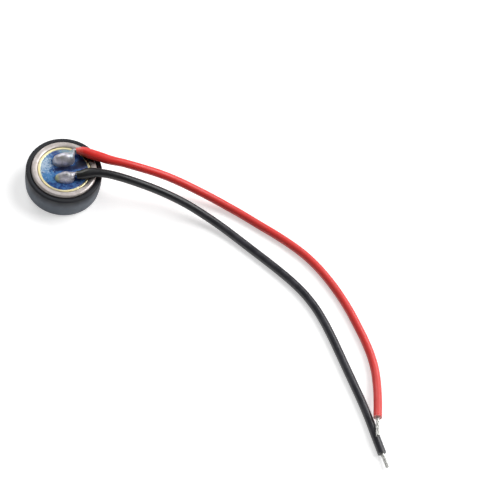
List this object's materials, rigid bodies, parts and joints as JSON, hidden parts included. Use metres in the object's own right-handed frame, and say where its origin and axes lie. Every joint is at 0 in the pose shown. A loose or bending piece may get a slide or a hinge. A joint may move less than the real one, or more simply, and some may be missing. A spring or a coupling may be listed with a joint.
{
  "type": "electret microphone capsule",
  "caption": "Round electret microphone capsule with a crimped metal case in a rubber boot, with a red and a black lead soldered to its board.",
  "frame": {"origin": "middle of the boot's front face, which the part stands on", "axes": "+Z along the capsule's axis, from the sound opening to the soldered board; the leads leave towards +X"},
  "size_m": [0.0381, 0.0242, 0.0035],
  "materials": {
    "boot_rubber": "satin moulded rubber",
    "cloth": "non-woven felt",
    "case_metal": "drawn, satin",
    "plated_brass": "smooth",
    "film": "metallised film",
    "ring_plastic": "moulded",
    "board_blue": "blue solder mask",
    "chip_black": "moulded epoxy",
    "chip_ceramic": "matt",
    "tin": "tinned",
    "solder": "satin solder",
    "red_pvc": "extruded insulation",
    "black_pvc": "extruded insulation"
  },
  "bodies": {
    "root": {"rubber_boot": "boot_rubber", "dust_cloth": "cloth", "case_can": "case_metal", "polar_ring": "plated_brass", "diaphragm": "film", "spacer_ring": "film", "back_plate": "plated_brass", "chamber_ring": "ring_plastic", "gate_ring": "plated_brass", "circuit_board": "board_blue", "ground_foil": "plated_brass", "output_pad": "plated_brass", "inner_foil": "plated_brass", "jfet_body": "chip_black", "jfet_legs": "tin", "large_capacitor": "chip_ceramic", "large_capacitor_ends": "tin", "small_capacitor": "chip_ceramic", "small_capacitor_ends": "tin", "output_solder": "solder", "ground_solder": "solder", "red_core_root": "tin", "black_core_root": "tin", "red_lead": "red_pvc", "black_lead": "black_pvc", "red_lead_tip": "tin", "black_lead_tip": "tin"}
  },
  "joints": []
}
